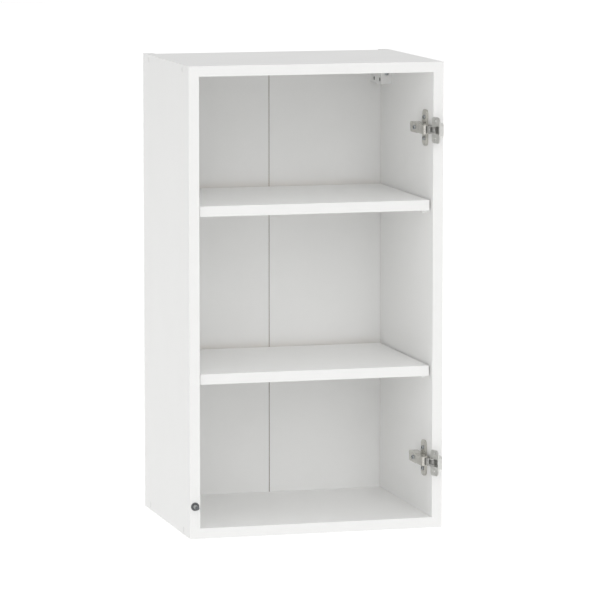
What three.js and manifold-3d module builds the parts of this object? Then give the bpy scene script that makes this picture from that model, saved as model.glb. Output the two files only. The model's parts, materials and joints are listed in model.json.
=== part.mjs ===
// Hanging wall cabinet: an open carcass with two loose shelves, concealed hinges for a door
// on the right, two adjustable hangers in the upper rear corners and a push latch.
// Millimetres. +X to the right of a person facing the cabinet, +Y towards the wall, +Z up.
// Origin: on the wall plane, at the middle of the width, level with the underside.
import * as THREE from "three";
import { mergeVertices } from "three/addons/utils/BufferGeometryUtils.js";
import Module from "manifold-3d";

const wasm = await Module();
wasm.setup();

// ---------------------------------------------------------------- driving dimensions
const width = 400;
const height = 720;
const depth = 302;
const board = 16;

const clearance = 0.3; // round a piece that sits in a hole or a groove
const past = 1; // how far a cut runs past the faces it opens
const facets = { large: 24, round: 20, medium: 16, small: 12 };

const backSheet = 3;
const backRecess = 13; // from the wall plane to the back sheet
const grooveDepth = 8;
const seam = 1; // between the two halves of the back
const tapeWidth = 40;
const tapeThickness = 0.4;

const shelfSetback = 9; // behind the front edges of the sides
const shelfDepth = 267;
const shelfEndGap = 2.9;
const holePitch = 32; // of the rows of holes that the shelf pins use
const firstHole = 39.75; // of a row, above the underside
const edging = 1;

const pinFrontSetback = 37;
const pinPitch = 224; // front pin to rear pin
const pinSpigot = 2.5; // radius in the side panel
const pinSpigotLength = 10;
const pinHead = 3.25; // radius of the part that carries the shelf
const pinHeadLength = 7.5;
const pinChamfer = 0.6;

const screwFrontSetback = 41;
const screwPitch = 222; // front screw to rear screw
const screwHead = 3.7;
const screwHeadLength = 3;
const screwRim = 1; // straight part of the countersunk head
const screwSocket = 1.5;
const screwSocketDepth = 1.6;
const screwShank = 2.5;
const screwLength = 50;
const screwTip = 0.6;
const screwTaper = 3;
const capRadius = 4;
const capThickness = 1.2;

const hingeFromEnd = 103.5; // hinge centre to the end of the side panel
const hingeSetback = 37; // plate screws behind the front edge
const plateScrewPitch = 32;
const plateHeight = 55.5;
const plateWidth = 21;
const plateThickness = 3.5;
const plateCorner = 7;
const plateBlockLength = 34;
const plateScrewLength = 14;
const plateScrewTip = 0.4;
const plateScrewTaper = 4;
const armReach = 16; // side panel to the outer face of the arm
const armSetback = 7; // front end of the arm's web behind the front edge
const armLength = 63;
const armRear = 16; // height at the rear
const armFront = 14; // height at the front
const armNeck = 22; // the narrow front part
const armTaper = 6; // from the narrow part to the wide one
const armCorner = 4;
const armWall = 1.2;
const earReach = 6; // ears of the arm past its web
const earRoot = 1; // how far the ears run back into the web
const earShoulder = 2; // straight part of the ear past the web
const clampFromFront = 47;
const clampScrewLength = 9;
const hingeScrewHead = 3.4; // radius, both for the plate screws and the clamp screws
const hingeScrewHeight = 2;
const hingeScrewRim = 1.4; // from the seat to the chamfer of a clamp screw
const hingeScrewDome = 1; // from the seat to the cone of a plate screw
const hingeScrewTop = 2.4; // radius of the flat top of a plate screw
const hingeScrewChamfer = 0.6;
const hingeScrewShank = 2;
const crossSize = 2.1; // from the middle to the tip of a cross recess
const crossDepth = 1.1;

const linkHeight = 11.3;
const linkWall = 1.2;
const linkBar = 3.2; // width of the front link across its length
const pivotPin = 1; // radius
const frontLinkBow = 3.4;
const webShare = 0.55; // of the front link's length, from the arm
const rearLinkBow = 1.5;
const rearLinkHeight = 7.8;
const rearLinkBar = 2.4;
const frontPivotReach = 7.6; // from the outer face of the arm towards the side panel
const frontPivotSetback = 3.9; // behind the front edge
const rearPivotReach = 6.6;
const rearPivotSetback = 12;

const doorAngle = 15; // opening beyond square
const bossWidth = 22;
const bossHeight = 40;
const bossDepth = 7.5;
const bossFlange = 1.6;
const bossBody = 23; // height of the deep middle part
const bossRim = 1.5; // round the window that the links pass
const bossFloor = 0.8; // under the window
const bossScrewPitch = 28;
const bossScrewHole = 1.9;
const bossReach = 12; // edge of the boss, from the outer face of the arm
const bossProud = 5; // edge of the boss, past the front edge
const bossFlangeCorner = 5;
const bossBodyCorner = 4;
const bossCheek = 3; // left outside the ends of the pivot hole
const bossPivotAlong = 7; // from the edge of the boss along the door
const bossPivotDepth = 2.5; // from the face of the flange
const rearEndAlong = 4;
const rearEndDepth = 2.6;

const hangerWidth = 17;
const hangerDepth = 59.5;
const hangerHeight = 34.5;
const hangerStep = 2.5; // drop of the underside at the step
const hangerStepFromBack = 28;
const hangerWall = 1.6;
const hangerCorner = 4;
const pegRadius = 5;
const pegLength = 11;
const pegBore = 3.5;
const pegPitch = 32;
const pegFromBack = 20;
const pegDrop = 27.5; // below the top panel
const pegRoot = 0.5; // how far the pegs start inside the face of the cover
const hookThickness = 3;
const hookSideGap = 2; // from the wall of the cover
const hookTopGap = 2.5;
const hookPegGap = 1.5;
const hookSetback = 12; // behind the front wall of the cover
const hookNose = 3; // thickness of the turned-in front end
const hookNoseReach = 4.5; // past the axis of the depth screw
const hookLip = 3;
const hookTip = 8; // the lip that grips the wall rail
const hookWallGap = 2;
const depthScrewRadius = 3.4;
const depthScrewHead = 4;
const depthScrewCone = 1;
const depthScrewShank = 2;
const depthScrewLength = 22;
const depthScrewGap = 0.5; // behind the front wall of the cover
const depthScrewPlay = 0.6; // round the head in the hole of the cover
const depthScrewInset = 7.5; // from the side panel
const slotWidth = 1;
const slotReach = 2.4;
const slotDepth = 1.4;
const depthScrewDrop = 17; // below the top panel

const latchFromBottom = 50;
const latchSleeve = 5; // radius in the side panel
const latchSleeveLength = 48;
const latchFlange = 6.4;
const latchFlangeThickness = 1.2;
const latchChamfer = 0.4;
const latchPlunger = 3.15;
const latchTravel = 15;
const plungerLength = 32;
const plungerChamfer = 0.5;
const plungerTail = 3; // the spigot that centres the spring
const latchWall = 1.2;
const latchSpring = 2.2; // mean radius of the coil
const latchWire = 0.3;
const latchTurns = 7;

// ---------------------------------------------------------------- planes worked out from them
const outerX = width / 2;
const innerX = outerX - board;
const frontY = -depth;
const backY = -(backRecess + backSheet);
const topZ = height - board;
const rad = THREE.MathUtils.degToRad;

// ---------------------------------------------------------------- finishes
const finish = (color, roughness, metalness = 0) =>
  new THREE.MeshStandardMaterial({ color, roughness, metalness });
const melamine = () => finish(0xf3f3f1, 0.45);
const sheetWhite = () => finish(0xececea, 0.5);
const plasticWhite = () => finish(0xf0f0ee, 0.4);
const nickel = () => finish(0xb9bab8, 0.3, 1);
const zinc = () => finish(0xa9abad, 0.4, 1);
const latchGrey = () => finish(0x77797b, 0.5);

// ---------------------------------------------------------------- solids
function solid(geometry) {
  const bare = geometry.index ? geometry.toNonIndexed() : geometry;
  bare.deleteAttribute("normal");
  bare.deleteAttribute("uv");
  const merged = mergeVertices(bare, 1e-4);
  return new wasm.Manifold(
    new wasm.Mesh({
      numProp: 3,
      vertProperties: new Float32Array(merged.attributes.position.array),
      triVerts: new Uint32Array(merged.index.array),
    })
  );
}

function box(x0, x1, y0, y1, z0, z1) {
  const geometry = new THREE.BoxGeometry(x1 - x0, y1 - y0, z1 - z0);
  return solid(geometry.translate((x0 + x1) / 2, (y0 + y1) / 2, (z0 + z1) / 2));
}

// A turned piece: profile holds [radius, distance along the axis] pairs and starts and ends
// on the axis. The piece starts at `at` and runs along `axis`.
function turned(profile, axis, at, sides = facets.round) {
  const points = profile.map(([radius, along]) => new THREE.Vector2(radius, along));
  const geometry = new THREE.LatheGeometry(points, sides);
  const turn = new THREE.Quaternion().setFromUnitVectors(new THREE.Vector3(0, 1, 0), axis);
  geometry.applyQuaternion(turn);
  return solid(geometry.translate(at.x, at.y, at.z));
}

function rod(radius, length, axis, at, sides = facets.round) {
  const profile = [[0, 0], [radius, 0], [radius, length], [0, length]];
  return turned(profile, axis, at, sides);
}

// A flat shape in the XY plane, raised from z0 to z1.
function raised(shape, z0, z1, segments = 6) {
  const options = { depth: z1 - z0, bevelEnabled: false, curveSegments: segments };
  return solid(new THREE.ExtrudeGeometry(shape, options).translate(0, 0, z0));
}

// A rectangle with rounded corners, centred on x, y.
function roundedRectangle(x, y, wide, high, radius) {
  const shape = new THREE.Shape();
  const right = x + wide / 2;
  const left = x - wide / 2;
  const upper = y + high / 2;
  const lower = y - high / 2;
  shape.moveTo(left + radius, lower);
  shape.absarc(right - radius, lower + radius, radius, -Math.PI / 2, 0);
  shape.absarc(right - radius, upper - radius, radius, 0, Math.PI / 2);
  shape.absarc(left + radius, upper - radius, radius, Math.PI / 2, Math.PI);
  shape.absarc(left + radius, lower + radius, radius, Math.PI, Math.PI * 1.5);
  return shape;
}

// A bar with round ends that follows an arc from one pivot to another. The arc bows to the
// right of the way from `from` to `to`; share is how much of the arc the bar covers, and
// offset moves the bar outwards from the arc.
function bowedBar(from, to, bow, wide, share = 1, offset = 0) {
  const chord = to.clone().sub(from);
  const half = chord.length() / 2;
  const arc = (half * half + bow * bow) / (2 * bow);
  const right = new THREE.Vector2(chord.y, -chord.x).normalize();
  const centre = from.clone().add(to).multiplyScalar(0.5).addScaledVector(right, bow - arc);
  const start = from.clone().sub(centre).angle();
  const end = start + 2 * Math.asin(half / arc) * share;
  const radius = arc + offset;
  const onArc = (angle) =>
    new THREE.Vector2(centre.x + radius * Math.cos(angle), centre.y + radius * Math.sin(angle));
  const tail = onArc(start);
  const head = onArc(end);
  const shape = new THREE.Shape();
  shape.absarc(centre.x, centre.y, radius + wide / 2, start, end, false);
  shape.absarc(head.x, head.y, wide / 2, end, end + Math.PI, false);
  shape.absarc(centre.x, centre.y, radius - wide / 2, end, start, true);
  shape.absarc(tail.x, tail.y, wide / 2, start + Math.PI, start + 2 * Math.PI, false);
  return shape;
}

const X = new THREE.Vector3(1, 0, 0);
const Y = new THREE.Vector3(0, 1, 0);
const Z = new THREE.Vector3(0, 0, 1);
const at = (x, y, z) => new THREE.Vector3(x, y, z);
const union = (first, ...rest) => rest.reduce((sum, piece) => sum.add(piece), first);
const cut = (first, ...rest) => rest.reduce((sum, piece) => sum.subtract(piece), first);

// A cross recess for a screwdriver, sunk from `head` along X.
function crossRecess(head) {
  const half = crossSize / 4;
  const flat = box(-crossDepth, crossDepth, -crossSize, crossSize, -half, half);
  const upright = box(-crossDepth, crossDepth, -half, half, -crossSize, crossSize);
  return flat.add(upright).translate([head.x, head.y, head.z]);
}

const cabinet = new THREE.Group();

function node(parent, name, body, material) {
  const { vertProperties, triVerts } = body.getMesh();
  const geometry = new THREE.BufferGeometry();
  geometry.setAttribute("position", new THREE.BufferAttribute(vertProperties, 3));
  geometry.setIndex(new THREE.BufferAttribute(triVerts, 1));
  const mesh = new THREE.Mesh(geometry, material);
  mesh.name = name;
  parent.add(mesh);
  return mesh;
}

const sides = [["left", -1], ["right", 1]];
const hingeHeights = [["lower", hingeFromEnd], ["upper", height - hingeFromEnd]];
const boardHeights = [["bottom", board / 2], ["top", height - board / 2]];
const pinRows = [["front", frontY + pinFrontSetback], ["rear", frontY + pinFrontSetback + pinPitch]];
const screwRows = [
  ["front", frontY + screwFrontSetback],
  ["rear", frontY + screwFrontSetback + screwPitch],
];
const pegRows = [backY - pegFromBack, backY - pegFromBack - pegPitch];

// The shelves divide the height in three, each on the nearest holes of the rows.
const pinAxisDrop = pinHead + clearance;
const nearestHole = (z) => firstHole + holePitch * Math.round((z - firstHole) / holePitch);
const shelfHeights = [
  ["lower", nearestHole(height / 3) + pinAxisDrop],
  ["upper", nearestHole((2 * height) / 3) + pinAxisDrop],
];

// ---------------------------------------------------------------- carcass
const screwFace = outerX - capThickness - clearance / 2;

function screwHole(side, y, z) {
  const outward = at(side, 0, 0);
  const seatX = screwFace - screwHeadLength - clearance / 2;
  const seat = rod(capRadius + clearance, board, outward, at(side * seatX, y, z));
  const endX = screwFace - screwLength - clearance;
  const shank = rod(screwShank + clearance, seatX + past - endX, outward, at(side * endX, y, z));
  return seat.add(shank);
}

function sidePanel(side) {
  let panel = box(innerX, outerX, frontY, 0, 0, height);
  const groove = box(
    innerX - past,
    innerX + grooveDepth,
    backY - clearance,
    backY + backSheet + clearance,
    -past,
    height + past
  );
  panel = panel.subtract(groove);
  for (const [, y] of pinRows) {
    for (const [, underside] of shelfHeights) {
      const start = at(innerX - past, y, underside - pinAxisDrop);
      const deep = pinSpigotLength + clearance + past;
      panel = panel.subtract(rod(pinSpigot + clearance, deep, X, start, facets.medium));
    }
  }
  for (const [, y] of screwRows) {
    for (const [, z] of boardHeights) {
      panel = panel.subtract(screwHole(1, y, z));
    }
  }
  for (const y of pegRows) {
    const start = at(innerX - past, y, topZ - pegDrop);
    panel = panel.subtract(rod(pegRadius + clearance, pegLength + clearance + past, X, start));
  }
  return side > 0 ? panel : panel.mirror([1, 0, 0]);
}

function hingeScrewHoles() {
  const holes = [];
  for (const [, z] of hingeHeights) {
    for (const up of [-1, 1]) {
      const start = at(innerX - past, frontY + hingeSetback, z + (up * plateScrewPitch) / 2);
      const deep = plateScrewLength - plateThickness + clearance + past;
      holes.push(rod(hingeScrewShank + clearance, deep, X, start, facets.small));
    }
  }
  return holes;
}

function latchBore() {
  const start = at(-(innerX + board / 2), frontY - past, latchFromBottom);
  return rod(latchSleeve + clearance, latchSleeveLength + clearance + past, Y, start);
}

node(cabinet, "side_panel_right", cut(sidePanel(1), ...hingeScrewHoles()), melamine());
node(cabinet, "side_panel_left", sidePanel(-1).subtract(latchBore()), melamine());

for (const [name, z] of boardHeights) {
  let panel = box(-innerX, innerX, frontY, backY, z - board / 2, z + board / 2);
  for (const [, side] of sides) {
    for (const [, y] of screwRows) {
      panel = panel.subtract(screwHole(side, y, z));
    }
  }
  node(cabinet, `${name}_panel`, panel, melamine());
}

for (const [name, side] of sides) {
  const edge = innerX + grooveDepth - clearance;
  let sheet = box(seam / 2, edge, backY, backY + backSheet, clearance, height - clearance);
  const notch = box(
    innerX - hangerWidth + hangerWall,
    outerX,
    backY - past,
    backY + backSheet + past,
    topZ - hangerHeight + hangerWall,
    topZ
  );
  sheet = sheet.subtract(notch);
  node(cabinet, `back_panel_${name}`, side > 0 ? sheet : sheet.mirror([1, 0, 0]), sheetWhite());
}

const sheetRear = backY + backSheet;
const tape = box(
  -tapeWidth / 2,
  tapeWidth / 2,
  sheetRear,
  sheetRear + tapeThickness,
  board,
  topZ
);
node(cabinet, "back_joint_tape", tape, sheetWhite());

const cornerScrewProfile = [
  [0, screwSocketDepth],
  [screwSocket, screwSocketDepth],
  [screwSocket, 0],
  [screwHead, 0],
  [screwHead, screwRim],
  [screwShank, screwHeadLength],
  [screwShank, screwLength - screwTaper],
  [screwTip, screwLength],
  [0, screwLength],
];

for (const [level, z] of boardHeights) {
  for (const [name, side] of sides) {
    for (const [row, y] of screwRows) {
      const inward = at(-side, 0, 0);
      const start = at(side * screwFace, y, z);
      const screw = turned(cornerScrewProfile, inward, start, facets.small);
      node(cabinet, `corner_screw_${level}_${name}_${row}`, screw, zinc());
      const cap = rod(capRadius, capThickness, inward, at(side * outerX, y, z));
      node(cabinet, `screw_cap_${level}_${name}_${row}`, cap, plasticWhite());
    }
  }
}

// ---------------------------------------------------------------- shelves on their pins
const pinProfile = [
  [0, 0],
  [pinSpigot, 0],
  [pinSpigot, pinSpigotLength],
  [pinHead, pinSpigotLength],
  [pinHead, pinSpigotLength + pinHeadLength - pinChamfer],
  [pinHead - pinChamfer, pinSpigotLength + pinHeadLength],
  [0, pinSpigotLength + pinHeadLength],
];

for (const [level, underside] of shelfHeights) {
  const front = frontY + shelfSetback;
  const half = innerX - shelfEndGap;
  const top = underside + board;
  const shelf = box(-half, half, front + edging, front + shelfDepth, underside, top);
  node(cabinet, `shelf_${level}`, shelf, melamine());
  const band = box(-half, half, front, front + edging, underside, top);
  node(cabinet, `shelf_edging_${level}`, band, melamine());
  for (const [name, side] of sides) {
    for (const [row, y] of pinRows) {
      const start = at(side * (innerX + pinSpigotLength), y, underside - pinAxisDrop);
      const pin = turned(pinProfile, at(-side, 0, 0), start, facets.medium);
      node(cabinet, `shelf_pin_${level}_${name}_${row}`, pin, plasticWhite());
    }
  }
}

// ---------------------------------------------------------------- hinges
// Pivots in plan. The front link runs from the arm to the boss near its surface, the rear
// link from further back on the arm into the depth of the boss.
const armFace = innerX - armReach;
const bossEdge = new THREE.Vector2(armFace + bossReach, frontY - bossProud);
const along = new THREE.Vector2(Math.sin(rad(doorAngle)), -Math.cos(rad(doorAngle)));
const inwards = new THREE.Vector2(Math.cos(rad(doorAngle)), Math.sin(rad(doorAngle)));
const onBoss = (s, t) => bossEdge.clone().addScaledVector(along, s).addScaledVector(inwards, t);
const frontPivot = new THREE.Vector2(armFace + frontPivotReach, frontY + frontPivotSetback);
const rearPivot = new THREE.Vector2(armFace + rearPivotReach, frontY + rearPivotSetback);
const bossPivot = onBoss(bossPivotAlong, bossPivotDepth);
const rearLinkEnd = onBoss(rearEndAlong, rearEndDepth);

const pivotHole = (pivot, half) =>
  rod(pivotPin + clearance, 2 * half, Z, at(pivot.x, pivot.y, -half), facets.small);

function mountingPlate() {
  const wing = roundedRectangle(0, 0, plateHeight, plateWidth, plateCorner);
  const y = frontY + hingeSetback;
  let plate = raised(wing, 0, plateThickness).rotate([0, -90, 0]).translate([innerX, y, 0]);
  const blockHalf = armFront / 2 - armWall - clearance;
  const blockEnd = y - plateWidth / 2 + plateBlockLength;
  const blockFace = armFace + armWall + clearance;
  plate = plate.add(
    box(blockFace, innerX, y - plateWidth / 2, blockEnd, -blockHalf, blockHalf)
  );
  for (const up of [-1, 1]) {
    const start = at(innerX - plateThickness - past, y, (up * plateScrewPitch) / 2);
    const through = plateThickness + 2 * past;
    plate = plate.subtract(rod(hingeScrewShank + clearance, through, X, start, facets.small));
  }
  const clampAt = at(blockFace - past, frontY + clampFromFront, 0);
  const deep = clampScrewLength + past;
  return plate.subtract(rod(hingeScrewShank + clearance, deep, X, clampAt, facets.small));
}

function plateScrew(z) {
  const profile = [
    [0, -hingeScrewHeight],
    [hingeScrewTop, -hingeScrewHeight],
    [hingeScrewHead, -hingeScrewDome],
    [hingeScrewHead, -clearance],
    [hingeScrewShank, -clearance],
    [hingeScrewShank, plateScrewLength - plateScrewTaper],
    [plateScrewTip, plateScrewLength],
    [0, plateScrewLength],
  ];
  const seat = at(innerX - plateThickness, frontY + hingeSetback, z);
  const screw = turned(profile, X, seat, facets.medium);
  return screw.subtract(crossRecess(at(seat.x - hingeScrewHeight, seat.y, z)));
}

function hingeArm() {
  const y0 = frontY + armSetback;
  const y1 = y0 + armLength;
  const neckEnd = y0 + armNeck;
  const inner = armFace + armWall;
  const lid = innerX - plateThickness - clearance;
  const rearHalf = armRear / 2;
  const frontHalf = armFront / 2;
  const r = armCorner;
  const outline = new THREE.Shape();
  outline.moveTo(y0, -frontHalf);
  outline.lineTo(neckEnd, -frontHalf);
  outline.lineTo(neckEnd + armTaper, -rearHalf);
  outline.absarc(y1 - r, -rearHalf + r, r, -Math.PI / 2, 0);
  outline.absarc(y1 - r, rearHalf - r, r, 0, Math.PI / 2);
  outline.lineTo(neckEnd + armTaper, rearHalf);
  outline.lineTo(neckEnd, frontHalf);
  outline.lineTo(y0, frontHalf);
  // The outline is drawn with x along the arm and y up, then stood on the side panel.
  let arm = raised(outline, armFace, lid).rotate([90, 0, 90]);
  const hollow = frontHalf - armWall;
  arm = arm.subtract(box(inner, innerX, y0 - past, y1 + past, -hollow, hollow));
  const ear = new THREE.Shape();
  ear.moveTo(armFace, y0 + earRoot);
  ear.lineTo(lid, y0 + earRoot);
  ear.lineTo(lid, y0 - earShoulder);
  ear.absarc(lid - r, y0 - earReach + r, r, 0, -Math.PI / 2, true);
  ear.absarc(armFace + r, y0 - earReach + r, r, -Math.PI / 2, -Math.PI, true);
  // The nose closes the front between the ears and leaves the link its way out.
  const noseFront = y0 - earReach;
  const noseEnd = frontPivot.x - linkBar;
  const nose = cut(
    raised(ear, -hollow, hollow),
    box(inner, lid + past, noseFront + armWall, y0 + past, -hollow, hollow),
    box(noseEnd, lid + past, noseFront - past, y0 + past, -hollow, hollow)
  );
  arm = union(arm, raised(ear, hollow, frontHalf), raised(ear, -frontHalf, -hollow), nose);
  const clampAt = at(armFace - past, frontY + clampFromFront, 0);
  return cut(
    arm,
    pivotHole(frontPivot, armRear),
    pivotHole(rearPivot, armRear),
    rod(hingeScrewShank + clearance, armWall + 2 * past, X, clampAt, facets.small)
  );
}

function clampScrew() {
  const seat = at(armFace, frontY + clampFromFront, 0);
  const profile = [
    [0, -hingeScrewHeight],
    [hingeScrewHead - hingeScrewChamfer, -hingeScrewHeight],
    [hingeScrewHead, -hingeScrewRim],
    [hingeScrewHead, -clearance],
    [hingeScrewShank, -clearance],
    [hingeScrewShank, clampScrewLength],
    [0, clampScrewLength],
  ];
  const screw = turned(profile, X, seat, facets.medium);
  return screw.subtract(crossRecess(at(seat.x - hingeScrewHeight, seat.y, 0)));
}

function frontLink() {
  const half = linkHeight / 2;
  const bar = bowedBar(frontPivot, bossPivot, frontLinkBow, linkBar);
  const outside = (linkBar - linkWall) / 2;
  const web = bowedBar(frontPivot, bossPivot, frontLinkBow, linkWall, webShare, outside);
  const stub = armWall - clearance;
  const pins = [];
  for (const pivot of [frontPivot, bossPivot]) {
    for (const low of [-half - stub, half - linkWall / 2]) {
      const start = at(pivot.x, pivot.y, low);
      pins.push(rod(pivotPin, stub + linkWall / 2, Z, start, facets.small));
    }
  }
  return union(
    raised(web, -half, half),
    raised(bar, -half, linkWall - half),
    raised(bar, half - linkWall, half),
    ...pins
  );
}

function rearLink() {
  const half = rearLinkHeight / 2;
  const bar = raised(bowedBar(rearPivot, rearLinkEnd, rearLinkBow, rearLinkBar), -half, half);
  const long = armFront - 2 * clearance;
  const start = at(rearPivot.x, rearPivot.y, -long / 2);
  return bar.add(rod(pivotPin, long, Z, start, facets.small));
}

// The boss lies along its own x, its depth along its own y, before it is turned to the
// angle of the open door.
function doorBoss() {
  const flange = roundedRectangle(bossWidth / 2, 0, bossWidth, bossHeight, bossFlangeCorner);
  const body = roundedRectangle(bossWidth / 2, 0, bossWidth, bossBody, bossBodyCorner);
  // Raised along +Z, then stood up: the height goes to Z and the depth to +Y.
  const stand = (piece) => piece.rotate([90, 0, 0]).mirror([0, 1, 0]);
  let boss = stand(raised(flange, 0, bossFlange)).add(stand(raised(body, 0, bossDepth)));
  const floor = bossDepth - bossFloor;
  const half = linkHeight / 2 + clearance;
  boss = boss.subtract(box(bossRim, bossWidth - bossRim, -past, floor, -half, half));
  const slotHalf = rearLinkHeight / 2 + clearance;
  boss = boss.subtract(box(-past, bossRim + past, -past, floor, -slotHalf, slotHalf));
  const holeAt = at(bossPivotAlong, bossPivotDepth, bossCheek - bossBody / 2);
  const holeLength = bossBody - 2 * bossCheek;
  boss = boss.subtract(rod(pivotPin + clearance, holeLength, Z, holeAt, facets.small));
  for (const up of [-1, 1]) {
    const start = at(bossWidth / 2, -past, (up * bossScrewPitch) / 2);
    boss = boss.subtract(rod(bossScrewHole, bossDepth, Y, start, facets.small));
  }
  return boss;
}

for (const [level, z] of hingeHeights) {
  const hinge = new THREE.Group();
  hinge.position.set(0, 0, z);
  cabinet.add(hinge);
  node(hinge, `hinge_${level}_plate`, mountingPlate(), nickel());
  node(hinge, `hinge_${level}_plate_screw_low`, plateScrew(-plateScrewPitch / 2), zinc());
  node(hinge, `hinge_${level}_plate_screw_high`, plateScrew(plateScrewPitch / 2), zinc());
  node(hinge, `hinge_${level}_arm`, hingeArm(), nickel());
  node(hinge, `hinge_${level}_clamp_screw`, clampScrew(), zinc());
  node(hinge, `hinge_${level}_front_link`, frontLink(), nickel());
  node(hinge, `hinge_${level}_rear_link`, rearLink(), nickel());
  const boss = node(hinge, `hinge_${level}_door_boss`, doorBoss(), nickel());
  boss.position.set(bossEdge.x, bossEdge.y, 0);
  boss.rotation.z = along.angle();
}

// ---------------------------------------------------------------- hangers
// Drawn for the right side and mirrored to the left. The cover is a shell that is open
// towards the side panel, with two hollow pegs that press into it.
const coverFace = innerX - hangerWidth;
const coverFront = backY - hangerDepth;
const coverStep = backY - hangerStepFromBack;
const coverLow = topZ - hangerHeight;
const hookX = coverFace + hangerWall + hookSideGap;
const hookMiddle = topZ - depthScrewDrop;
const screwX = innerX - depthScrewInset;

function hangerCover() {
  const outline = new THREE.Shape();
  const r = hangerCorner;
  const lowest = coverLow - hangerStep;
  outline.moveTo(innerX, topZ);
  outline.lineTo(coverFace, topZ);
  outline.absarc(coverFace + r, lowest + r, r, Math.PI, Math.PI * 1.5);
  outline.lineTo(innerX, lowest);
  // Drawn in X and Z, so it is raised along -Y from the back sheet.
  let cover = raised(outline, 0, hangerDepth).rotate([90, 0, 0]).translate([0, backY, 0]);
  const inside = coverFace + hangerWall;
  const roof = topZ - hangerWall;
  const front = coverFront + hangerWall;
  const rear = backY + past;
  // The front part is lowest at the step and rises to the level of the rear part.
  const chin = new THREE.Shape();
  chin.moveTo(coverStep, lowest);
  chin.lineTo(coverFront, coverLow);
  chin.lineTo(coverFront - past, coverLow);
  chin.lineTo(coverFront - past, lowest - past);
  chin.lineTo(coverStep, lowest - past);
  cover = cut(
    cover,
    box(coverFace - past, innerX + past, coverStep, rear, lowest - past, coverLow),
    box(inside, innerX + past, front, rear, coverLow + hangerWall, roof),
    raised(chin, coverFace - past, innerX + past).rotate([90, 0, 90])
  );
  for (const y of pegRows) {
    const start = at(coverFace + pegRoot, y, topZ - pegDrop);
    const long = hangerWidth - pegRoot + pegLength;
    const boreAt = at(coverFace - past, y, topZ - pegDrop);
    cover = cover.add(rod(pegRadius, long, X, start));
    cover = cover.subtract(rod(pegBore, long + 3 * past, X, boreAt, facets.medium));
  }
  const screwHoleAt = at(screwX, coverFront - past, hookMiddle);
  return cover.subtract(
    rod(depthScrewRadius + depthScrewPlay, hangerWall + 2 * past, Y, screwHoleAt)
  );
}

function hangerHook() {
  // The hook plate stands beside the pegs, above their level, and passes through the back.
  const low = topZ - pegDrop + pegRadius + hookPegGap;
  const high = topZ - hangerWall - hookTopGap;
  const front = coverFront + hangerWall + hookSetback;
  const tip = -hookWallGap;
  const side = hookX + hookThickness;
  const bar = box(hookX, side, front, tip, low, high);
  const lip = box(hookX, side, tip - hookLip, tip, low - hookTip, low + past);
  const nose = box(hookX, screwX + hookNoseReach, front, front + hookNose, low, high);
  const holeAt = at(screwX, front - past, hookMiddle);
  const through = hookNose + 2 * past;
  const hole = rod(depthScrewShank + clearance, through, Y, holeAt, facets.small);
  return cut(union(bar, lip, nose), hole);
}

function depthScrew() {
  const start = at(screwX, coverFront + hangerWall + depthScrewGap, hookMiddle);
  const profile = [
    [0, 0],
    [depthScrewRadius, 0],
    [depthScrewRadius, depthScrewHead],
    [depthScrewShank, depthScrewHead + depthScrewCone],
    [depthScrewShank, depthScrewLength],
    [0, depthScrewLength],
  ];
  const screw = turned(profile, Y, start, facets.medium);
  const half = slotWidth / 2;
  const slot = box(-slotReach, slotReach, -past, slotDepth, -half, half);
  const cross = box(-half, half, -past, slotDepth, -slotReach, slotReach);
  return screw.subtract(slot.add(cross).translate([start.x, start.y, start.z]));
}

for (const [name, side] of sides) {
  const place = (body) => (side > 0 ? body : body.mirror([1, 0, 0]));
  node(cabinet, `hanger_${name}_cover`, place(hangerCover()), plasticWhite());
  node(cabinet, `hanger_${name}_hook`, place(hangerHook()), zinc());
  node(cabinet, `hanger_${name}_depth_screw`, place(depthScrew()), zinc());
}

// ---------------------------------------------------------------- push latch
const latchX = -(innerX + board / 2);
const latchAt = (y) => at(latchX, y, latchFromBottom);

function latchSleeveSolid() {
  const outer = turned(
    [
      [0, 0],
      [latchFlange - latchChamfer, 0],
      [latchFlange, latchChamfer],
      [latchFlange, latchFlangeThickness],
      [latchSleeve, latchFlangeThickness],
      [latchSleeve, latchFlangeThickness + latchSleeveLength],
      [0, latchFlangeThickness + latchSleeveLength],
    ],
    Y,
    latchAt(frontY - latchFlangeThickness),
    facets.large
  );
  const bore = latchPlunger + clearance;
  const long = latchSleeveLength + latchFlangeThickness - latchWall;
  const boreAt = latchAt(frontY - latchFlangeThickness - past);
  return outer.subtract(rod(bore, long + past, Y, boreAt));
}

const plungerFront = frontY - latchFlangeThickness - latchTravel;

function plunger() {
  const tail = latchSpring - latchWire - clearance;
  const profile = [
    [0, 0],
    [latchPlunger - plungerChamfer, 0],
    [latchPlunger, plungerChamfer],
    [latchPlunger, plungerLength],
    [tail, plungerLength],
    [tail, plungerLength + plungerTail],
    [0, plungerLength + plungerTail],
  ];
  return turned(profile, Y, latchAt(plungerFront));
}

class Coil extends THREE.Curve {
  constructor(radius, turns, start, length) {
    super();
    Object.assign(this, { radius, turns, start, length });
  }
  getPoint(t, target = new THREE.Vector3()) {
    const angle = t * this.turns * 2 * Math.PI;
    const x = latchX + this.radius * Math.cos(angle);
    const z = latchFromBottom + this.radius * Math.sin(angle);
    return target.set(x, this.start + t * this.length, z);
  }
}

function springSolid() {
  const start = plungerFront + plungerLength + clearance + latchWire;
  const end = frontY + latchSleeveLength - latchWall - clearance - latchWire;
  const path = new Coil(latchSpring, latchTurns, start, end - start);
  const section = new THREE.Shape();
  section.absarc(0, 0, latchWire, 0, 2 * Math.PI);
  const options = {
    steps: latchTurns * facets.small,
    extrudePath: path,
    curveSegments: 3,
    bevelEnabled: false,
  };
  return solid(new THREE.ExtrudeGeometry(section, options));
}

node(cabinet, "latch_sleeve", latchSleeveSolid(), latchGrey());
node(cabinet, "latch_plunger", plunger(), latchGrey());
node(cabinet, "latch_spring", springSolid(), zinc());

export default cabinet;
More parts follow.
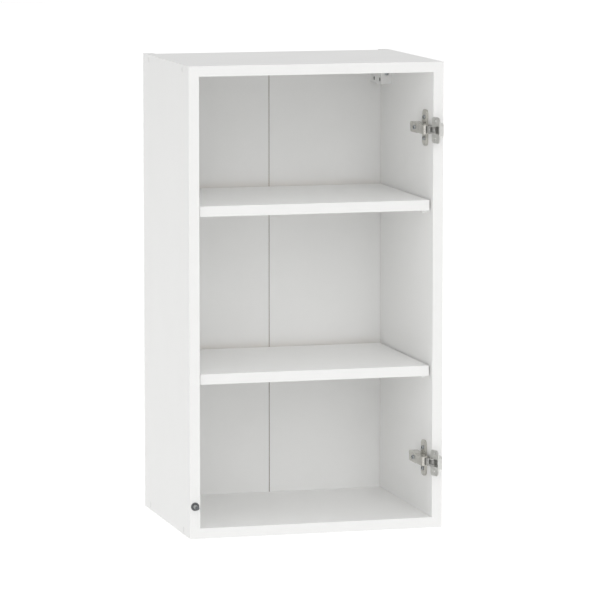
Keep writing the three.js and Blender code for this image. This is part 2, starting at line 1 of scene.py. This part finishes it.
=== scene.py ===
# %% [markdown]
# # A hanging wall cabinet, board by board
#
# The cabinet is a flat-pack kitchen wall unit: white melamine-faced chipboard, a thin
# hardboard back in two halves, two loose shelves on pegs, two concealed hinges that wait
# for a door, two hangers that hide in the upper rear corners, and a push latch.
#
# The CAD frame already holds every piece at its true size. This lesson gives them the
# edges, roundings and surfaces that make them look manufactured. It starts by loading
# that frame; every length below is in metres, in the frame's own axes.

# %% Load the frame
import json
import math

import bpy
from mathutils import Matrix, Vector


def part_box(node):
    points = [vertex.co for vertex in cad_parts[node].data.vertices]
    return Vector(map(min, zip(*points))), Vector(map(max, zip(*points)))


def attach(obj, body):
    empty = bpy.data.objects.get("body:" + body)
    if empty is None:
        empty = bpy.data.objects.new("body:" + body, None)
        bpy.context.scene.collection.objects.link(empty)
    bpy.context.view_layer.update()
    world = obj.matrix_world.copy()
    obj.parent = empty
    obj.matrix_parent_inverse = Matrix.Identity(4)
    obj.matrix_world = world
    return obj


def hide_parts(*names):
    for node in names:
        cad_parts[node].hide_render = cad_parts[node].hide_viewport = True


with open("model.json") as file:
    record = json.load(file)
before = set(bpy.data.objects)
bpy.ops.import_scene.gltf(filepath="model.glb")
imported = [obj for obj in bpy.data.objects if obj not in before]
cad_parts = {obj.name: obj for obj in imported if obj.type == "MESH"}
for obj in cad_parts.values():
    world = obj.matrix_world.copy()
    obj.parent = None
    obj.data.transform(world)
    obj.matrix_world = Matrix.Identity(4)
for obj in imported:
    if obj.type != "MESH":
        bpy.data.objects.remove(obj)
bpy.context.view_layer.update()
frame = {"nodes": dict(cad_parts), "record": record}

MM = 0.001

# %% [markdown]
# ## Camera, light and floor
#
# The cabinet is seen from the left, a little above its middle, through a long lens, so
# its uprights stay almost parallel. A long lens far away is what product pictures use:
# nearer and wider, the box would look like a tower.
#
# The light is what a white studio gives. It comes from everywhere, with a wide soft panel
# beside the camera, a smaller one above the front and a bright ceiling, and a dark flag on
# the left holds that side a shade below the front. The camera itself sees plain white.

# %% Camera
LENS = 252 # mm
CAMERA_PLACE = (-1.662, -6.312, 1.159)
LOOKS_DOWN = 7.23 # degrees
TURNED_RIGHT = 15.15 # degrees

camera_data = bpy.data.cameras.new("camera")
camera_data.sensor_width = 36
camera_data.lens = LENS
camera_data.clip_end = 50
camera = bpy.data.objects.new("camera", camera_data)
bpy.context.scene.collection.objects.link(camera)
camera.location = CAMERA_PLACE
camera.rotation_euler = (math.radians(90 - LOOKS_DOWN), 0, math.radians(-TURNED_RIGHT))
bpy.context.scene.camera = camera
print("camera stands", round(camera.location.length, 2), "m from the origin")


# %% [markdown]
# ## One helper for colours and one for nodes
#
# Paint charts and screens give colours as sRGB hex values, but a renderer adds light in
# linear values. One function turns one into the other. Another adds a shader node, sets
# its sockets and links it, which keeps every material below down to a few lines.

# %% Colour and node helpers
def linear(hex_colour):
    """An sRGB hex value as a linear RGBA colour."""
    def channel(pair):
        value = int(pair, 16) / 255
        return value / 12.92 if value <= 0.04045 else ((value + 0.055) / 1.055) ** 2.4
    return tuple(channel(hex_colour[i:i + 2]) for i in (0, 2, 4)) + (1.0,)


def add(tree, kind, settings=None, **sockets):
    """Adds a node. Settings are its own properties; sockets are values or outputs."""
    node = tree.nodes.new("ShaderNode" + kind)
    for name, value in (settings or {}).items():
        setattr(node, name, value)
    for name, value in sockets.items():
        key = int(name[1:]) if name[1:].isdigit() else name.replace("_", " ")
        socket = node.inputs[key]
        if isinstance(value, bpy.types.NodeSocket):
            tree.links.new(value, socket)
        else:
            socket.default_value = value
    return node


def surface(name):
    """A new material with a Principled shader, and the object's own coordinates."""
    material = bpy.data.materials.new(name)
    material.use_nodes = True
    tree = material.node_tree
    tree.nodes.clear()
    shader = add(tree, "BsdfPrincipled")
    add(tree, "OutputMaterial", Surface=shader.outputs["BSDF"])
    place = add(tree, "TexCoord").outputs["Object"]
    return material, tree, shader, place


# %% World, lights and floor
AMBIENT = 0.36
LOBES = (
    ((-0.52, -0.84, 0.15), 6, 0.74), # the wide panel beside the camera
    ((0.0, -0.9, 0.43), 30, 2.9), # the smaller one above the front
    ((0.0, 0.0, 1.0), 1, 0.62), # the ceiling
    ((-0.93, 0.37, 0.0), 2, -0.35), # a dark flag on the left
) # direction, how narrow, how strong

scene = bpy.context.scene
scene.view_settings.view_transform = "Standard"
world = bpy.data.worlds.new("studio")
world.use_nodes = True
scene.world = world
sky = world.node_tree
sky.nodes.clear()
seen = add(sky, "LightPath").outputs["Is Camera Ray"]
towards = add(sky, "TexCoord").outputs["Generated"]
glow = AMBIENT
for direction, narrow, power in LOBES:
    dot = add(sky, "VectorMath", {"operation": "DOT_PRODUCT"}, _0=towards, _1=direction)
    lean = dot.outputs["Value"]
    ahead = add(sky, "Math", {"operation": "MAXIMUM"}, _0=lean, _1=0.0).outputs[0]
    lobe = add(sky, "Math", {"operation": "POWER"}, _0=ahead, _1=narrow).outputs[0]
    glow = add(sky, "Math", {"operation": "MULTIPLY_ADD"}, _0=lobe, _1=power, _2=glow).outputs[0]
strength = add(sky, "Mix", _0=seen, _2=glow, _3=1.0).outputs[0]
light = add(sky, "Background", Color=linear("FFFFFF"), Strength=strength)
add(sky, "OutputWorld", Surface=light.outputs[0])

FLOOR_DROP = 0.9 # below the cabinet
FLOOR_SIZE = 60
FLOOR_GLOW = 0.3
bpy.ops.mesh.primitive_plane_add(size=FLOOR_SIZE, location=(0, 0, -FLOOR_DROP))
floor = bpy.context.object
floor.name = "studio_floor"
paper, tree, shader, place = surface("studio_paper_matte")
grain = add(tree, "TexNoise", Vector=place, Scale=40.0, Detail=3.0).outputs[0]
tone = add(tree, "ValToRGB", Fac=grain)
tone.color_ramp.elements[0].color = linear("F6F6F5")
tone.color_ramp.elements[1].color = linear("FBFBFA")
tree.links.new(tone.outputs[0], shader.inputs["Base Color"])
shader.inputs["Roughness"].default_value = 0.95
shader.inputs["Emission Color"].default_value = linear("FFFFFF")
shader.inputs["Emission Strength"].default_value = FLOOR_GLOW
floor.data.materials.append(paper)
print("floor", FLOOR_DROP, "m below the cabinet")

# %% [markdown]
# ## The surfaces
#
# **Melamine-faced chipboard.** Paper soaked in resin is pressed onto chipboard by a steel
# plate with a fine pearl texture. It looks white, smooth and slightly satin. Its typical
# IOR is 1.5. The pearls are about 0.6 mm across. Edges that face the wall are not
# covered, so the chips of wood show there.

# %% Melamine board
# Edging tones, a shade greyer than the faces: partly the strip's own white, partly painted shade
# that holds the front edges below the light on them.
EDGING_SHADED_DARK = "E8E8E7"
EDGING_SHADED_LIGHT = "EAEAE9"


def pearl(tree, place, size_mm, depth_mm):
    """A fine moulded or pressed grain as a bump."""
    height = add(tree, "TexNoise", Vector=place, Scale=1 / (size_mm * MM), Detail=2.0).outputs[0]
    return add(tree, "Bump", Strength=0.5, Distance=depth_mm * MM, Height=height).outputs[0]


def chips(tree, place):
    """The colour of bare chipboard: pale and brown flakes 1 to 3 mm long."""
    stretched = add(tree, "Mapping", Vector=place, Scale=(1.0, 1.0, 0.55)).outputs[0]
    flakes = add(tree, "TexVoronoi", Vector=stretched, Scale=1 / (1.8 * MM)).outputs["Color"]
    value = add(tree, "SeparateColor", Color=flakes).outputs[0]
    ramp = add(tree, "ValToRGB", Fac=value)
    ramp.color_ramp.elements[0].color = linear("8A6A45")
    ramp.color_ramp.elements[1].color = linear("D9BE93")
    return ramp.outputs[0]


def facing(tree, axis, low, high):
    """1 where the surface faces along an axis, in the object's own directions."""
    normal = add(tree, "TexCoord").outputs["Normal"]
    part = add(tree, "SeparateXYZ", Vector=normal).outputs[axis]
    return add(tree, "MapRange", _0=part, _1=low, _2=high).outputs[0]


def cloudy(tree, place, scale, dark, light):
    """Two close tones in soft clouds, as a pressed or lacquered face has."""
    cloud = add(tree, "TexNoise", Vector=place, Scale=scale, Detail=3.0).outputs[0]
    ramp = add(tree, "ValToRGB", Fac=cloud)
    ramp.color_ramp.elements[0].color = linear(dark)
    ramp.color_ramp.elements[0].position = 0.3
    ramp.color_ramp.elements[1].color = linear(light)
    ramp.color_ramp.elements[1].position = 0.7
    return ramp.outputs[0]


def melamine_board():
    material, tree, shader, place = surface("melamine_pearl_white")
    paper = cloudy(tree, place, 14.0, "F7F7F6", "F9F9F8")
    # Front-facing faces take the edging tones: partly the strip's own white, partly painted shade on
    # the fronts.
    strip = cloudy(tree, place, 30.0, EDGING_SHADED_DARK, EDGING_SHADED_LIGHT)
    edged_and_shaded = facing(tree, "Y", -0.4, -0.6)
    white = add(tree, "MixRGB", Fac=edged_and_shaded, Color1=paper, Color2=strip).outputs[0]
    bare = facing(tree, "Y", 0.4, 0.6)
    colour = add(tree, "MixRGB", Fac=bare, Color1=white, Color2=chips(tree, place)).outputs[0]
    gloss = add(tree, "MapRange", _0=bare, _3=0.38, _4=0.85).outputs[0]
    tree.links.new(colour, shader.inputs["Base Color"])
    tree.links.new(gloss, shader.inputs["Roughness"])
    tree.links.new(pearl(tree, place, 0.6, 0.02), shader.inputs["Normal"])
    shader.inputs["IOR"].default_value = 1.5
    return material


# %% [markdown]
# ** Edging** is ABS strip, extruded and glued on. It is a touch smoother than the faces, and a shade greyer: partly its own white, partly painted shade on the front edges.
# **The back** is hardboard: white lacquer on the face that shows, brown pressed fibre on
# the face that meets the wall.

# %% Edging and hardboard
def edging_strip():
    material, tree, shader, place = surface("abs_edging_white_and_painted_shade")
    tree.links.new(cloudy(tree, place, 30.0, EDGING_SHADED_DARK, EDGING_SHADED_LIGHT), shader.inputs["Base Color"])
    tree.links.new(pearl(tree, place, 0.9, 0.01), shader.inputs["Normal"])
    shader.inputs["Roughness"].default_value = 0.34
    shader.inputs["IOR"].default_value = 1.52
    return material


def hardboard():
    material, tree, shader, place = surface("hardboard_lacquered_white")
    white = cloudy(tree, place, 9.0, "F1F1F0", "F4F4F3")
    fibre = add(tree, "TexNoise", Vector=place, Scale=900.0, Detail=6.0).outputs[0]
    brown = add(tree, "ValToRGB", Fac=fibre)
    brown.color_ramp.elements[0].color = linear("5F4226")
    brown.color_ramp.elements[1].color = linear("9B7750")
    raw = facing(tree, "Y", -0.6, -0.4)
    colour = add(tree, "MixRGB", Fac=raw, Color1=white, Color2=brown.outputs[0]).outputs[0]
    gloss = add(tree, "MapRange", _0=raw, _3=0.42, _4=0.8).outputs[0]
    tree.links.new(colour, shader.inputs["Base Color"])
    tree.links.new(gloss, shader.inputs["Roughness"])
    tree.links.new(pearl(tree, place, 0.9, 0.03), shader.inputs["Normal"])
    shader.inputs["IOR"].default_value = 1.5
    return material


# %% [markdown]
# ** Metals.** The arms and plates of the hinges are pressed from strip and nickel plated:
# warm, bright, with the faint lengthways lines of rolled strip. Their links are tumbled
# after stamping, which leaves them grey and dull. The door boss is a zinc casting with a
# bright, slightly milky plate. The screws and hooks are zinc plated: bluer and duller. The
# peg screws and the cut faces of the cross recesses are drawn nearly black: painted shade
# of the holes they sit in. A metal keeps the default IOR; its colour is its reflection.

# %% Plated steel
def plated(name, dark, light, roughness, line_mm, line_scale, metal=1.0):
    material, tree, shader, place = surface(name)
    tree.links.new(cloudy(tree, place, 180.0, dark, light), shader.inputs["Base Color"])
    lines = add(tree, "Mapping", Vector=place, Scale=line_scale).outputs[0]
    height = add(tree, "TexNoise", Vector=lines, Scale=1 / (line_mm * MM), Detail=2.0).outputs[0]
    low, high = roughness
    gloss = add(tree, "MapRange", _0=height, _1=0.3, _2=0.7, _3=low, _4=high).outputs[0]
    bump = add(tree, "Bump", Strength=0.25, Distance=0.02 * MM, Height=height).outputs[0]
    tree.links.new(gloss, shader.inputs["Roughness"])
    tree.links.new(bump, shader.inputs["Normal"])
    shader.inputs["Metallic"].default_value = metal
    return material


# %% [markdown]
# **Plastics.** The hanger covers, pegs and caps are moulded polypropylene with a fine
# spark-eroded grain. The latch is moulded acetal, smoother and a little glossier: a dark
# sleeve and a paler plunger, with a matte rubber-like bumper on its end.

# %% Moulded plastics and tape
def moulded(name, dark, light, roughness, grain_mm, ior):
    material, tree, shader, place = surface(name)
    tree.links.new(cloudy(tree, place, 120.0, dark, light), shader.inputs["Base Color"])
    tree.links.new(pearl(tree, place, grain_mm, 0.015), shader.inputs["Normal"])
    shader.inputs["Roughness"].default_value = roughness
    shader.inputs["IOR"].default_value = ior
    return material


finishes = {
    "melamine_board": melamine_board(),
    "edging": edging_strip(),
    "hardboard_back": hardboard(),
    "nickel_steel": plated(
        "steel_strip_nickel_plated", "BDBBB5", "D2D0CA", (0.2, 0.32), 0.5, (1, 0.08, 1)
    ),
    "zinc_steel": plated(
        "steel_zinc_plated", "A4A8AC", "BCC0C3", (0.3, 0.42), 0.4, (1, 1, 1)
    ),
    "white_plastic": moulded("polypropylene_moulded_white", "EFEFEE", "F4F4F3", 0.42, 0.35, 1.49),
    "grey_plastic": moulded("acetal_moulded_grey", "585A5C", "646668", 0.35, 0.4, 1.48),
    "satin_strip": plated(
        "steel_strip_tumbled_grey", "A9A9A6", "B6B6B3", (0.42, 0.55), 0.5, (1, 0.08, 1), 0.55
    ),
    "bright_boss": plated(
        "zinc_casting_bright", "D6D6D3", "E0E0DD", (0.34, 0.46), 0.5, (1, 1, 1), 0.85
    ),
    # Painted shade: a nearly black finish for the cut walls of the cross recesses and for the peg
    # screws in their holes.
    "recess_painted_shade": plated("steel_painted_recess_shade", "26282A", "303235", (0.45, 0.6), 0.4, (1, 1, 1)),
    "pale_grey_plastic": moulded("acetal_moulded_pale_grey", "B2B4B5", "BEC0C0", 0.3, 0.4, 1.48),
    "soft_bumper": moulded("elastomer_bumper_dark", "54575A", "606366", 0.6, 0.5, 1.5),
    "joint_tape": moulded("paper_tape_matte_white", "E6E4DE", "EEECE7", 0.7, 0.8, 1.5),
}
print(len(finishes), "finishes")

# %% Give every CAD node its finish
slot_of = {part["node"]: part["material_slot"] for part in frame["record"]["subparts"]}
for name, node in frame["nodes"].items():
    node.data.materials.clear()
    node.data.materials.append(finishes[slot_of[name]])

# %% [markdown]
# ## Edges that were worked
#
# Nothing on the real cabinet has a knife edge. Edging is scraped to a small radius, pressed
# steel rolls over at the die, and moulded plastic is rounded to leave its tool. The CAD
# shapes are right but sharp, so each is copied, its loose triangles are merged into one
# skin, flat neighbours become one face, and a bevel rounds what is left. It is a copy
# because the frame's own meshes stay as they are.

# %% Select one piece, and finish it
SMOOTH_BELOW = 50 # degrees between two faces that are shaded as one
ROUND_ABOVE = 40 # degrees between two faces whose edge is rounded
FLAT_BELOW = 0.5 # degrees between two faces that become one
MERGE = 0.01 # mm between points that become one

bodies = frame["record"]["behaviour"]["bodies"]
body_of = {node: body for body, nodes in bodies.items() for node in nodes}


def pick(piece):
    """Selects one piece alone, so that an operator acts on nothing else."""
    bpy.ops.object.select_all(action="DESELECT")
    piece.select_set(True)
    bpy.context.view_layer.objects.active = piece


def apply_all(piece):
    """Applies a piece's modifiers, smooths all but its real corners and keeps flats flat."""
    pick(piece)
    for modifier in list(piece.modifiers):
        bpy.ops.object.modifier_apply(modifier=modifier.name)
    bpy.ops.object.shade_smooth_by_angle(angle=math.radians(SMOOTH_BELOW))
    level = piece.modifiers.new("flats stay flat", "WEIGHTED_NORMAL")
    level.keep_sharp = True
    bpy.ops.object.modifier_apply(modifier=level.name)


def round_edges(piece, radius_mm):
    """Rounds the edges that turn by more than an angle."""
    edge = piece.modifiers.new("rounded edge", "BEVEL")
    edge.width = radius_mm * MM
    edge.segments = 2
    edge.limit_method = "ANGLE"
    edge.angle_limit = math.radians(ROUND_ABOVE)
    apply_all(piece)


def settle(piece, finish, slot, body, *nodes):
    """Gives a piece its finish, its body and the CAD nodes that it stands for."""
    if not piece.data.materials:
        piece.data.materials.append(None)
    piece.data.materials[0] = finish
    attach(piece, body)
    if nodes:
        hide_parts(*nodes)


def worked(node, radius_mm, finish=None):
    """A copy of a CAD node with its edges rounded."""
    source = frame["nodes"][node]
    piece = bpy.data.objects.new(node + "_worked", source.data.copy())
    scene.collection.objects.link(piece)
    piece.data.transform(source.matrix_world)
    piece.data.materials.clear()
    pick(piece)
    bpy.ops.object.mode_set(mode="EDIT")
    bpy.ops.mesh.select_all(action="SELECT")
    bpy.ops.mesh.remove_doubles(threshold=MERGE * MM)
    bpy.ops.mesh.dissolve_limited(angle_limit=math.radians(FLAT_BELOW))
    bpy.ops.object.mode_set(mode="OBJECT")
    round_edges(piece, radius_mm)
    settle(piece, finish or finishes[slot_of[node]], slot_of[node], body_of[node], node)
    return piece


# %% Boards, shelves and edging
board_edges = {
    "side_panel_right": 0.5,
    "side_panel_left": 0.5,
    "top_panel": 0.3,
    "bottom_panel": 0.3,
    "shelf_lower": 0.3,
    "shelf_upper": 0.3,
    "shelf_edging_lower": 0.25,
    "shelf_edging_upper": 0.25,
}
for node, radius in board_edges.items():
    board = worked(node, radius)
    print(node, len(board.data.polygons), "faces")

# %% [markdown]
# ## The hinges and hangers
#
# A concealed hinge is folded from 1.2 mm strip. Its edges roll over by a quarter of a
# millimetre at the punch. The hanger covers are moulded, with a softer edge, and the hooks
# are thick plate with a sheared edge.

# %% Hinges, hangers and hooks
hinge_work = (
    ("plate", 0.4, "nickel_steel"),
    ("arm", 0.25, "nickel_steel"),
    ("front_link", 0.2, "satin_strip"),
    ("rear_link", 0.25, "satin_strip"),
    ("door_boss", 0.3, "bright_boss"),
) # part, radius of its edges in mm, finish
for level in ("lower", "upper"):
    for part, radius, finish in hinge_work:
        worked(f"hinge_{level}_{part}", radius, finishes[finish])
for side in ("left", "right"):
    worked(f"hanger_{side}_cover", 0.45)
    worked(f"hanger_{side}_hook", 0.3)
print("hinge and hanger pieces worked")

# %% [markdown]
# ## Turned pieces
#
# Pins, caps, screws, rivets and the latch are round. In a workshop they come off a lathe or
# out of a round mould, and spinning an outline does the same: one point is extruded from
# corner to corner of half a section, and the line is spun once round the axis. A fine spin
# of 48 steps replaces the CAD's 12 to 24 sides.

# %% Spin, stand and repeat
def lathe(name, outline_mm, steps=48):
    """A round piece along +Z. The outline is (radius, height) pairs, from axis to axis."""
    bpy.ops.object.select_all(action="DESELECT")
    bpy.ops.mesh.primitive_plane_add(size=MM)
    piece = bpy.context.object
    piece.name = name
    bpy.ops.object.mode_set(mode="EDIT")
    bpy.ops.mesh.select_all(action="SELECT")
    bpy.ops.mesh.merge(type="CENTER")
    radius, height = outline_mm[0]
    bpy.ops.transform.translate(value=(radius * MM, 0, height * MM))
    for (radius, height), (next_radius, next_height) in zip(outline_mm, outline_mm[1:]):
        step = ((next_radius - radius) * MM, 0, (next_height - height) * MM)
        bpy.ops.mesh.extrude_vertices_move(TRANSFORM_OT_translate={"value": step})
    bpy.ops.mesh.select_all(action="SELECT")
    bpy.ops.mesh.spin(steps=steps, angle=math.tau, center=(0, 0, 0), axis=(0, 0, 1))
    bpy.ops.mesh.select_all(action="SELECT")
    bpy.ops.mesh.remove_doubles(threshold=0.002 * MM)
    bpy.ops.mesh.normals_make_consistent(inside=False)
    bpy.ops.object.mode_set(mode="OBJECT")
    return piece


def stand(piece, name, axis, start):
    """A copy of a piece with its +Z turned to an axis and its foot at a place."""
    copy = piece.copy()
    copy.data = piece.data.copy()
    copy.name = name
    scene.collection.objects.link(copy)
    copy.rotation_euler = Vector(axis).to_track_quat("Z", "Y").to_euler()
    copy.location = start
    pick(copy)
    bpy.ops.object.transform_apply(location=True, rotation=True, scale=True)
    return copy


def foot(node, axis):
    """The middle of the end of a CAD node from which it runs along an axis."""
    low, high = (Vector(corner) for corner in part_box(node))
    middle = (low + high) / 2
    for i in range(3):
        if axis[i]:
            middle[i] = low[i] if axis[i] > 0 else high[i]
    return middle


def put(model, node, axis, finish=None):
    """Stands a copy of a modelled piece where a CAD node is, and replaces the node."""
    piece = stand(model, node + "_turned", axis, foot(node, axis))
    settle(piece, finish or finishes[slot_of[node]], slot_of[node], body_of[node], node)


# %% [markdown]
# **Shelf pins and caps.** A pin is a moulded peg: a spigot for the hole, a collar that
# stops it, and a head with a small dimple where the plastic entered. A cap is a thin disc
# over a screw, a hair's breadth domed.

# %% Shelf pins and screw caps
pin = lathe("pin_model", [
    (0, 0), (2.1, 0), (2.5, 0.5), (2.5, 10), (3.05, 10), (3.25, 10.2), (3.25, 16.9),
    (3.1, 17.3), (2.7, 17.5), (0.9, 17.5), (0.7, 17.3), (0, 17.3),
])
apply_all(pin)
cap = lathe("cap_model", [
    (0, 1.2), (2.6, 1.17), (3.5, 1.08), (3.85, 0.9), (4, 0.6), (4, 0), (0, 0),
])
apply_all(cap)
outward = {"left": (-1, 0, 0), "right": (1, 0, 0)}
inward = {"left": (1, 0, 0), "right": (-1, 0, 0)}
for node in frame["nodes"]:
    side = "left" if "_left_" in node else "right"
    if node.startswith("shelf_pin"):
        put(pin, node, inward[side])
    if node.startswith("screw_cap"):
        put(cap, node, outward[side])
print("8 pins and 8 caps")

# %% [markdown]
# ** Screws.** The hinge screws have low domed heads with a cross recess. The recess lies in
# shade, so its walls get a nearly black finish as painted shade, which the cutter hands on
# to the faces that it cuts.

# %% Screws with a recess
def recess(piece, cutters):
    """Sinks shapes into a piece. The cut faces take the finish of the cutter."""
    for cutter in cutters:
        cut = piece.modifiers.new("recess", "BOOLEAN")
        cut.object = cutter
        cut.solver = "EXACT"
        cut.material_mode = "TRANSFER"
    apply_all(piece)
    for cutter in cutters:
        bpy.data.objects.remove(cutter)


def bar(long_mm, wide_mm, deep_mm):
    """A flat bar that sinks into the foot of a piece by its depth."""
    bpy.ops.object.select_all(action="DESELECT")
    bpy.ops.mesh.primitive_cube_add(size=1, scale=(long_mm * MM, wide_mm * MM, 2 * deep_mm * MM))
    bpy.ops.object.transform_apply(location=True, rotation=True, scale=True)
    # The bar carries the painted shade that its cut hands on to the recess walls.
    bpy.context.object.data.materials.append(finishes["recess_painted_shade"])
    return bpy.context.object


plate_screw = lathe("plate_screw_model", [
    (0, 0), (2.0, 0.02), (2.7, 0.2), (3.2, 0.6), (3.4, 1), (3.4, 1.7), (2, 1.7),
    (2, 12), (0.4, 16), (0, 16),
])
plate_screw.data.materials.append(finishes["zinc_steel"])
recess(plate_screw, [bar(5.2, 1.9, 1.5), bar(1.9, 5.2, 1.5)])
clamp_screw = lathe("clamp_screw_model", [
    (0, 0), (2.7, 0), (3.2, 0.25), (3.4, 0.7), (3.4, 1.7), (2, 1.7), (2, 11), (0, 11),
])
clamp_screw.data.materials.append(finishes["zinc_steel"])
recess(clamp_screw, [bar(5.4, 2.1, 1.5), bar(2.1, 5.4, 1.5)])
for level in ("lower", "upper"):
    for end in ("low", "high"):
        put(plate_screw, f"hinge_{level}_plate_screw_{end}", (1, 0, 0))
    put(clamp_screw, f"hinge_{level}_clamp_screw", (1, 0, 0))
print("plate screw", len(plate_screw.data.polygons), "faces")

# %% [markdown]
# ** Rivets and expansion screws.** The hinge links turn on rivets whose flat heads show
# above and below the ears of the arm. In the pegs of the hangers sit screws that spread
# them in their holes; they are drawn nearly black, as painted shade of those holes.

# %% Rivets and peg screws
EAR_HALF = 7 # mm, half the height of the arm at its ears
rivet = lathe("rivet_model", [
    (0, 0), (1.7, 0), (1.7, 0.25), (1.4, 0.5), (0.9, 0.6), (0, 0.62),
], steps=32)
rivet.data.materials.append(finishes["nickel_steel"])
apply_all(rivet)
turns = {joint["name"]: joint for joint in frame["record"]["behaviour"]["joints"]}
for level in ("lower", "upper"):
    for link in ("front_link", "rear_link"):
        pivot = Vector(turns[f"hinge_{level}_{link}_turn"]["pos_m"])
        for end, up in (("top", 1), ("foot", -1)):
            place = pivot + Vector((0, 0, up * EAR_HALF * MM))
            piece = stand(rivet, f"hinge_{level}_{link}_rivet_{end}", (0, 0, up), place)
            settle(piece, finishes["nickel_steel"], "nickel_steel", "carcass")

peg_screw = lathe("peg_screw_model", [
    (0, 0), (2.9, 0), (3.25, 0.3), (3.25, 3), (2.6, 3.4), (2.6, 20), (0, 21.5),
])
# Painted shade: the whole peg screw and its socket are drawn nearly black, for the dark hole it sits
# in.
peg_screw.data.materials.append(finishes["recess_painted_shade"])
bpy.ops.object.select_all(action="DESELECT")
KEY_RADIUS = 1.75 # mm, of the hexagon socket
KEY_LENGTH = 5 # mm, half of which is outside the screw
bpy.ops.mesh.primitive_cylinder_add(vertices=6, radius=KEY_RADIUS * MM, depth=KEY_LENGTH * MM)
bpy.context.object.data.materials.append(finishes["recess_painted_shade"])
recess(peg_screw, [bpy.context.object])
PEG_BACK = (20, 52) # mm from the front face of the back to the two pegs
PEG_DROP = 27.5 # mm below the top panel
PEG_SINK = 0.3 # mm from the face of the cover to the screw
back_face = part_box("back_panel_left")[0][1]
under_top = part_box("top_panel")[0][2]
for side, axis in outward.items():
    face = foot(f"hanger_{side}_cover", axis)[0]
    for row, back in zip(("rear", "front"), PEG_BACK):
        place = (face + axis[0] * PEG_SINK * MM, back_face - back * MM, under_top - PEG_DROP * MM)
        piece = stand(peg_screw, f"hanger_{side}_peg_screw_{row}", axis, place)
        settle(piece, finishes["recess_painted_shade"], "zinc_steel", "carcass")
print("8 rivets, 4 peg screws")

# %% [markdown]
# **The push latch.** A dark sleeve with a flange is pressed into the edge of the side. A
# pale plunger slides in it and ends in a soft dark bumper, which meets the door.

# %% Push latch
sleeve = lathe("sleeve_model", [
    (0, 48), (3.45, 48), (3.45, 0.5), (3.75, 0.1), (4.1, 0), (5.9, 0), (6.3, 0.25),
    (6.4, 0.6), (6.4, 1.2), (5, 1.2), (5, 48.8), (4.6, 49.2), (0, 49.2),
])
apply_all(sleeve)
put(sleeve, "latch_sleeve", (0, 1, 0))
shaft = lathe("shaft_model", [
    (0, 3.4), (2.7, 3.4), (2.7, 3.8), (3.05, 4.1), (3.05, 31.6), (2.8, 32), (1.6, 32),
    (1.6, 34.6), (1.3, 35), (0, 35),
])
apply_all(shaft)
put(shaft, "latch_plunger", (0, 1, 0), finishes["pale_grey_plastic"])
bumper = lathe("bumper_model", [
    (0, 0), (1.9, 0.05), (2.6, 0.25), (3.0, 0.7), (3.15, 1.3), (3.15, 3.2), (2.9, 3.4), (0, 3.4),
])
apply_all(bumper)
piece = stand(bumper, "latch_bumper", (0, 1, 0), foot("latch_plunger", (0, 1, 0)))
settle(piece, finishes["soft_bumper"], "grey_plastic", "latch_plunger")

for model in (pin, cap, plate_screw, clamp_screw, rivet, peg_screw, sleeve, shaft, bumper):
    bpy.data.objects.remove(model)
print("latch made; the models that were copied are removed")
